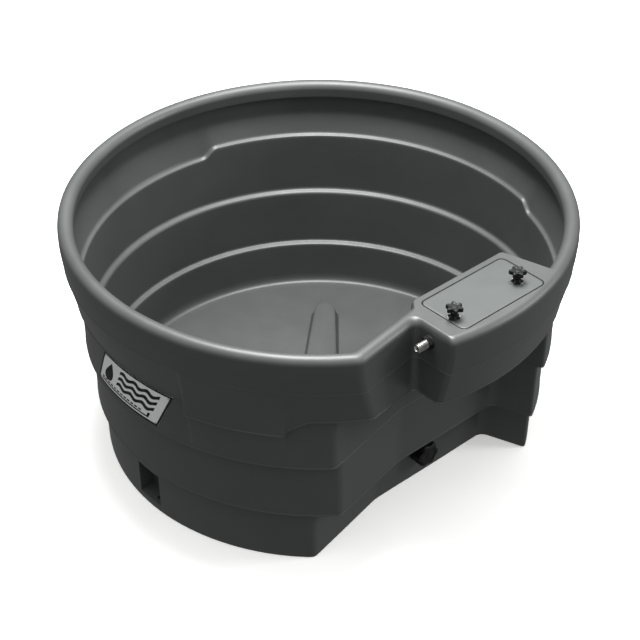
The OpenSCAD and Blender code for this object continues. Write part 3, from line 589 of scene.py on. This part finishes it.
drain_start = (drain_at.x, drain_at.y - 30, drain_at.z)
combine(tub, barrel("drain_hole", drain_start, (0, 1, 0), DRAIN_HOLE_R, 60), "DIFFERENCE")
combine(tub, prism("pocket", pocket_box(0)), "DIFFERENCE")
hole_at = POCKET_TURN @ Vector((667, 18, -5))
combine(tub, barrel("anchor_hole", hole_at, (0, 0, 1), ANCHOR_HOLE_R, 60), "DIFFERENCE")
print("faces after cutting:", len(tub.data.polygons))

# %% [markdown]
# Smooth shading blends the light across neighbouring faces. Edges steeper than 35 degrees stay sharp,
# and weighted normals make the large faces win, so flat faces look flat up to their rounded edges.

# %% Finish the moulding
def finish_piece(piece, material, body, slot, *replaced, sharp=35, weighted=True):
    piece.data.materials.clear()
    piece.data.materials.append(material)
    piece.data.shade_smooth()
    piece.data.set_sharp_from_angle(angle=math.radians(sharp))
    if weighted:
        modifier = piece.modifiers.new("weighted normals", "WEIGHTED_NORMAL")
        modifier.keep_sharp = True
        modifier.weight = 60
    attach(piece, body)
    if replaced:
        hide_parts(*replaced)
    return piece


finish_piece(tub, tub_skin, "tub", "tub_pe", "tub", "anchor_block")
low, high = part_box("tub")
print("moulding finished; engineering box", [round(v, 3) for v in (*low, *high)])

# %% [markdown]
# ## The housing's cover
# The cover is a second small moulding: a flat lid with a skirt below it that drops into the opening.
# It is skinned the same way as the tub, from rounded rectangles, with a soft top edge and a centre
# that has sunk half a millimetre.

# %% Cover
cover_rows = [level(cover_shape(grow), TOP + z) for grow, z in (
    (-16.2, -8), (-16, -15), (-12, -15), (-12, -8.2), (0, -8), (0, -2.6), (-0.7, -0.9), (-2.4, 0),
    (-9, 0), (-16.5, -0.1))]
cover = skin("cover_plate", cover_rows, (*cover_mid, TOP - 8), (*cover_mid, TOP - 0.5))
finish_piece(cover, cover_skin, "cover", "cover_pe", "cover")
print("cover faces:", len(cover.data.polygons))

# %% [markdown]
# ## Turned and lobed pieces
# A knob, a cap, a nut and a thread all wind round an axis. One function skins them: it takes stations
# along the axis, and a rule that gives the radius at each angle, so that lobes, flats and a helix are
# only different rules.

# %% Pieces round an axis
def wound(name, origin, axis, stations, radius_at, columns=72, ring=False):
    axis = Vector(axis)
    side = axis.orthogonal().normalized()
    up = axis.cross(side)
    rows = []
    for along, *shape in stations:
        row = []
        for k in range(columns):
            angle = 2 * math.pi * k / columns
            radius = radius_at(angle, along, *shape)
            outward = side * math.cos(angle) + up * math.sin(angle)
            row.append(Vector(origin) + axis * along + outward * radius)
        rows.append(np.array(row))
    if ring:
        return skin(name, rows, ring=True)
    poles = [Vector(origin) + axis * stations[i][0] for i in (0, -1)]
    return skin(name, rows, *poles)


def lobed(turn):
    def radius_at(angle, along, radius, lobe, count=6):
        return radius + lobe * math.cos(count * (angle - turn))
    return radius_at


print("helper for wound pieces ready")

# %% [markdown]
# ## Star knobs
# Each latch is turned by a six-lobed star knob of black nylon, moulded with a ribbed stem and a flared
# foot that has lobes of its own. The stations run from the foot up. Each holds a height, a mean radius,
# how far the lobes swing either side of it, and their count: the stem's ribs are eighteen small lobes.

# %% Knobs
KNOB_STATIONS = [
    (0.0, 13.6, 3.6, 6), (0.5, 14.6, 4.0, 6), (2.6, 14.8, 3.9, 6), (4.2, 13.6, 3.0, 6),
    (6.0, 11.8, 1.6, 6), (8.0, 10.4, 0.5, 18), (9.0, 9.7, 0.6, 18), (21.0, 9.4, 0.6, 18),
    (23.6, 10.4, 0.4, 18), (24.2, 19.0, 3.6, 6), (25.0, 20.6, 4.3, 6), (26.6, 21.4, 4.5, 6),
    (34.0, 21.2, 4.5, 6), (36.2, 20.4, 4.2, 6), (37.5, 19.0, 3.7, 6), (38.0, 17.0, 3.0, 6),
    (37.7, 14.8, 2.0, 6), (36.4, 13.4, 1.2, 6), (36.0, 9.4, 0.0, 6), (37.2, 8.2, 0.0, 6),
    (37.9, 7.0, 0.0, 6), (38.0, 5.0, 0.0, 6)]
for side, turn in (("left", 10), ("right", 30)):
    low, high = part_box(f"knob_{side}")
    middle = (low + high) / 2 / MM
    knob = wound(f"star_knob_{side}", (middle.x, middle.y, low.z / MM), (0, 0, 1),
                 KNOB_STATIONS, lobed(math.radians(turn)), 108)
    finish_piece(knob, nylon, f"latch_{side}", "black_plastic", f"knob_{side}", sharp=50)
print("knob height", round((high.z - low.z) / MM, 1), "mm")

# %% [markdown]
# ## The inlet
# The water comes in through a nickel-plated nipple with a G 3/4 thread, which has 14 threads to the
# inch. Its radius follows a triangle wave along the axis whose phase turns once with the angle, and
# that is a helix. A black nylon nut holds it in the wall, with its corners chamfered.

# %% Thread and nut
tip_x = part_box("valve_body")[0].x / MM
neck_x = inlet_low.x / MM
THREAD_PITCH = 25.4 / 14
CREST, ROOT, BORE, NUT_FLAT = 13.2, 12.05, 8.0, 17.3


def thread_radius(angle, along, radius, threaded):
    if not threaded:
        return radius
    phase = (along / THREAD_PITCH - angle / (2 * math.pi)) % 1
    height = ROOT + (CREST - ROOT) * min(1.0, max(0.0, 1.5 - abs(phase * 2 - 1) * 2.2))
    return min(height, 11.4 + along * 1.2)


free = neck_x - tip_x
stations = [(free, BORE, False), (1.4, BORE, False), (0.0, 9.6, False), (0.0, 11.0, False)]
stations += [(a, 0.0, True) for a in np.arange(0.3, free - 0.2, THREAD_PITCH / 8)]
stations.append((free, ROOT, False))
nipple = wound("inlet_nipple", (tip_x, inlet_at.y, inlet_at.z), (1, 0, 0), stations, thread_radius, 48, True)
finish_piece(nipple, nickel, "tub", "nickelled_brass", sharp=60, weighted=False)

# The engineering mesh is split along its sharp edges, and a boolean needs it whole
whole = bmesh.new()
whole.from_mesh(frame["nodes"]["valve_body"].data)
bmesh.ops.remove_doubles(whole, verts=whole.verts[:], dist=0.01 * MM)
casting = bpy.data.meshes.new("valve_casting")
whole.to_mesh(casting)
whole.free()
valve = bpy.data.objects.new("valve_casting", casting)
bpy.context.scene.collection.objects.link(valve)
thread_block = barrel("thread_block", (tip_x - 5, inlet_at.y, inlet_at.z), (1, 0, 0), 30, free + 5)
combine(valve, thread_block, "DIFFERENCE")
finish_piece(valve, nickel, "tub", "nickelled_brass", "valve_body")


def nut_radius(angle, along, limit):
    flat = NUT_FLAT / math.cos((angle % (math.pi / 3)) - math.pi / 6)
    return min(flat, limit)


nut_t = (inlet_high.x - inlet_low.x) / MM
nut = wound("inlet_lock_nut", (neck_x, inlet_at.y, inlet_at.z), (1, 0, 0), [
    (nut_t, 12.8), (0.8, 12.8), (0.0, 13.6), (0.0, 16.8), (0.9, 18.4), (2.0, 20.0), (nut_t - 1.6, 20.0),
    (nut_t, 18.6)], nut_radius, 72, True)
finish_piece(nut, nylon, "tub", "black_plastic", "inlet_nut", sharp=28)
print("thread turns:", round(free / THREAD_PITCH, 1))

# %% [markdown]
# ## The drain cap
# The drain is closed by a lobed nylon cap that a gloved hand can turn. Its skin starts at the bottom
# of the threaded bore, comes out over the rim, runs over the six grips, and ends in a dished face with
# a raised button.

# %% Drain cap
cap_low, cap_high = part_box("drain_cap")
cap_mid = (cap_low + cap_high) / 2 / MM
cap_back = cap_high.y / MM
bushing_r = (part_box("drain_bushing")[1].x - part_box("drain_bushing")[0].x) / 2 / MM - 11
CAP_STATIONS = [
    (16.6, bushing_r + 0.1, 0), (0.0, bushing_r + 0.1, 0), (0.0, 34.4, 0), (3.4, 34.8, 0), (4.4, 35.6, 1.2),
    (5.4, 37.2, 3.6), (7.4, 38.2, 4.4), (30.0, 38.4, 4.5), (34.5, 37.8, 4.3), (37.5, 36.2, 3.8),
    (39.3, 33.6, 3.0), (40.0, 30.4, 1.8), (39.7, 27.6, 0.8), (38.0, 25.4, 0), (37.4, 21.0, 0),
    (37.4, 14.0, 0), (38.6, 12.6, 0), (39.4, 10.6, 0), (39.6, 7.0, 0)]
cap = wound("drain_cap_lobed", (cap_mid.x, cap_back, cap_mid.z), (0, -1, 0),
            CAP_STATIONS, lobed(math.radians(8)), 120)
finish_piece(cap, nylon, "cap", "black_plastic", "drain_cap", sharp=50)
print("cap thickness", round((cap_high.y - cap_low.y) / MM, 1), "mm")

# %% [markdown]
# ## The float
# The float is a blow-moulded ball with a seam where its mould parted and a boss that takes the rod.

# %% Float
joints = {joint["name"]: joint for joint in frame["joints"]}
pin = Vector(joints["float_swing"]["pos_m"]) / MM
FLOAT_R, ARM, DROP = 52.0, 185.0, math.radians(34)
arm_axis = Vector((math.cos(DROP), 0, -math.sin(DROP)))
profile = [(-57.0, 4.05), (-57.0, 8.4), (-56.0, 9.0), (-52.4, 9.0)]
profile += [(-FLOAT_R * math.cos(a), FLOAT_R * math.sin(a) - 0.05) for a in np.linspace(0.2, 1.53, 18)]
profile += [(-0.8, 51.95), (-0.5, 52.0), (0.5, 52.0), (0.8, 51.95)]
profile += [(FLOAT_R * math.cos(a), FLOAT_R * math.sin(a) - 0.05) for a in np.linspace(1.53, 0.05, 20)]
ball = wound("float_ball", pin + arm_axis * ARM, arm_axis, profile, lambda angle, along, radius: radius, 64)
finish_piece(ball, float_skin, "float_arm", "float_plastic", "float", sharp=50)
print("float centre", [round(v) for v in pin + arm_axis * ARM])

# %% [markdown]
# ## The name plate
# A printed aluminium plate is riveted to the top tier. The engineering model holds the sheet. The
# print is a border, a water drop, waves and rules, each a thin film of enamel that is drawn flat, cut
# into strips and wrapped round the tier, so that its edges stay crisp at any distance.

# %% Print on the plate
TIER_R, TIER_DRAFT, TIER_FOOT, TIER_H = 736, 4, 390, 193
PLATE_L, PLATE_H, PLATE_T, PLATE_MID = 310.0, 142.0, 1.2, (TIER_FOOT + BAND_FOOT) / 2
INK = 0.3


def on_plate(u, v, lift):
    radius = TIER_R + TIER_DRAFT * (PLATE_MID + v - TIER_FOOT) / TIER_H + PLATE_T + lift
    angle = POCKET_ANGLE + math.asin(u / radius)
    return Vector((radius * math.cos(angle), radius * math.sin(angle), PLATE_MID + v)) * MM


def skew(s, t):
    return (s * PLATE_L / 2 + t * PLATE_H / 4, t * PLATE_H / 2)


def printed(name, shapes, lift=0.0):
    flat = bmesh.new()
    for shape in shapes:
        flat.faces.new([flat.verts.new((u, v, 0)) for u, v in shape])
    bmesh.ops.triangulate(flat, faces=flat.faces[:])
    for cut in np.arange(-190, 191, 9.5):
        geometry = flat.verts[:] + flat.edges[:] + flat.faces[:]
        bmesh.ops.bisect_plane(flat, geom=geometry, plane_co=(cut, 0, 0), plane_no=(1, 0, 0), dist=1e-5)
    sheet = bmesh.ops.extrude_face_region(flat, geom=flat.faces[:])
    raised = {v for v in sheet["geom"] if isinstance(v, bmesh.types.BMVert)}
    for vertex in flat.verts:
        vertex.co = on_plate(vertex.co.x, vertex.co.y, lift + (INK if vertex in raised else 0.02))
    bmesh.ops.recalc_face_normals(flat, faces=flat.faces[:])
    mesh = bpy.data.meshes.new(name)
    flat.to_mesh(mesh)
    flat.free()
    film = bpy.data.objects.new(name, mesh)
    bpy.context.scene.collection.objects.link(film)
    return film


def strip(s0, s1, t0, t1):
    return [skew(s0, t0), skew(s1, t0), skew(s1, t1), skew(s0, t1)]


EDGE_S, EDGE_T = 0.048, 0.105
border = [strip(-1, 1, 1 - EDGE_T, 1), strip(-1, 1, -1, EDGE_T - 1),
          strip(-1, EDGE_S - 1, EDGE_T - 1, 1 - EDGE_T), strip(1 - EDGE_S, 1, EDGE_T - 1, 1 - EDGE_T)]
rules = [strip(-0.86, 0.72, -0.80, -0.72), strip(0.66, 0.72, -0.72, -0.5)]
rules += [strip(-0.86 + k * 0.115, -0.78 + k * 0.115, -0.66, -0.57) for k in range(12)]
drop = [skew(-0.66 + 0.2 * math.sin(a) * math.sin(a / 2) ** 1.4, 0.08 + 0.62 * math.cos(a))
        for a in np.linspace(0, 2 * math.pi, 41)[:-1]]


def wave_band(s0, s1, t, thick):
    along = np.linspace(s0, s1, 37)
    crest = [0.085 * math.sin((s - s0) * 18) for s in along]
    upper = [skew(s, t + c + thick) for s, c in zip(along, crest)]
    lower = [skew(s, t + c - thick) for s, c in zip(along, crest)]
    return upper + lower[::-1]


waves = [wave_band(-0.36, 0.76, t, 0.105) for t in (0.56, 0.16, -0.24)]
film = printed("plate_print", border + rules + [drop] + waves)
film.data.materials.append(plate_ink)
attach(film, "tub")
print("print shapes:", len(border + rules + waves) + 1)

# %% [markdown]
# ## Finishes of the carried-over pieces
# Every other piece keeps its engineering shape and takes the finish that its material slot names.

# %% Finishes by slot
finish_of = {"black_plastic": nylon, "white_plastic": acetal, "float_plastic": float_skin, "brass": brass,
             "nickelled_brass": nickel, "steel": zinc, "rubber": rubber, "plate": plate_metal,
             "tub_pe": tub_skin, "cover_pe": cover_skin}
for part in frame["record"]["subparts"]:
    node = frame["nodes"][part["node"]]
    if not node.data.materials:
        node.data.materials.append(None)
    for slot in node.material_slots:
        slot.material = finish_of[part["material_slot"]]

# %% [markdown]
# ## Floor, light and camera
# The trough stands on a plain pale floor that is lit from within, like a light table. The floor is kept
# out of the trough's own light and reflections, as black cards do in a studio, so the dark walls stay
# dark. A large soft light overhead and a sky that brightens upwards make the ledges and the rim shine.

# %% Stage
floor_mesh = bpy.data.meshes.new("studio_floor")
REACH = 30.0
corners = [(-REACH, -REACH, 0), (REACH, -REACH, 0), (REACH, REACH, 0), (-REACH, REACH, 0)]
floor_mesh.from_pydata(corners, [], [(0, 1, 2, 3)])
floor = bpy.data.objects.new("studio_floor", floor_mesh)
bpy.context.scene.collection.objects.link(floor)
paper, paper_tree, paper_shader, paper_where = new_material(
    "paper backdrop, matt white", Roughness=0.9, Emission_Strength=0.42)
fibre = add_node(paper_tree, "ShaderNodeTexNoise", inputs={
    "Vector": paper_where, "Scale": 6.0, "Detail": 4.0})
tint = add_node(paper_tree, "ShaderNodeMixRGB", inputs={
    "Fac": fibre.outputs["Fac"], "Color1": linear("#eeeeed"), "Color2": linear("#f4f4f3")})
for socket in ("Base Color", "Emission Color"):
    paper_tree.links.new(tint.outputs["Color"], paper_shader.inputs[socket])
floor_mesh.materials.append(paper)
floor.visible_diffuse = False
floor.visible_glossy = False
print("floor reaches", REACH, "m each way")

# %% Light
scene = bpy.context.scene
scene.view_settings.view_transform = "Standard"
world = bpy.data.worlds.new("studio")
scene.world = world
world.use_nodes = True
sky_tree = world.node_tree
direction = add_node(sky_tree, "ShaderNodeTexCoord").outputs["Generated"]
height = add_node(sky_tree, "ShaderNodeSeparateXYZ", inputs={"Vector": direction}).outputs["Z"]
glow = add_node(sky_tree, "ShaderNodeMapRange", inputs={
    "Value": height, "From Min": 0.1, "From Max": 0.95, "To Min": 0.24, "To Max": 1.35})
sky = sky_tree.nodes["Background"]
sky.inputs["Color"].default_value = (1.0, 1.0, 1.0, 1.0)
sky_tree.links.new(glow.outputs["Result"], sky.inputs["Strength"])


def soft_light(name, place, target, size, power):
    data = bpy.data.lights.new(name, "AREA")
    data.shape = "DISK"
    data.size = size
    data.energy = power
    lamp = bpy.data.objects.new(name, data)
    lamp.location = place
    lamp.rotation_euler = (Vector(target) - Vector(place)).to_track_quat("-Z", "Y").to_euler()
    scene.collection.objects.link(lamp)


soft_light("overhead", (0.2, 0.3, 4.6), (0, 0, 0.5), 2.4, 500)
soft_light("right_fill", (4.2, -4.0, 2.6), (0, 0, 0.5), 1.8, 130)

# %% Camera
CAMERA_PLACE = Vector((-2.968, -3.263, 3.626))
CAMERA_LOOK = Vector((0.5416, 0.5956, -0.5932))
camera_data = bpy.data.cameras.new("camera")
camera_data.sensor_width = 36.0
camera_data.lens = 96.9
camera_data.shift_x = 0.0024
camera = bpy.data.objects.new("camera", camera_data)
camera.location = CAMERA_PLACE
camera.rotation_euler = CAMERA_LOOK.to_track_quat("-Z", "Y").to_euler()
scene.collection.objects.link(camera)
scene.camera = camera
print("camera height", round(CAMERA_PLACE.z, 2), "m")
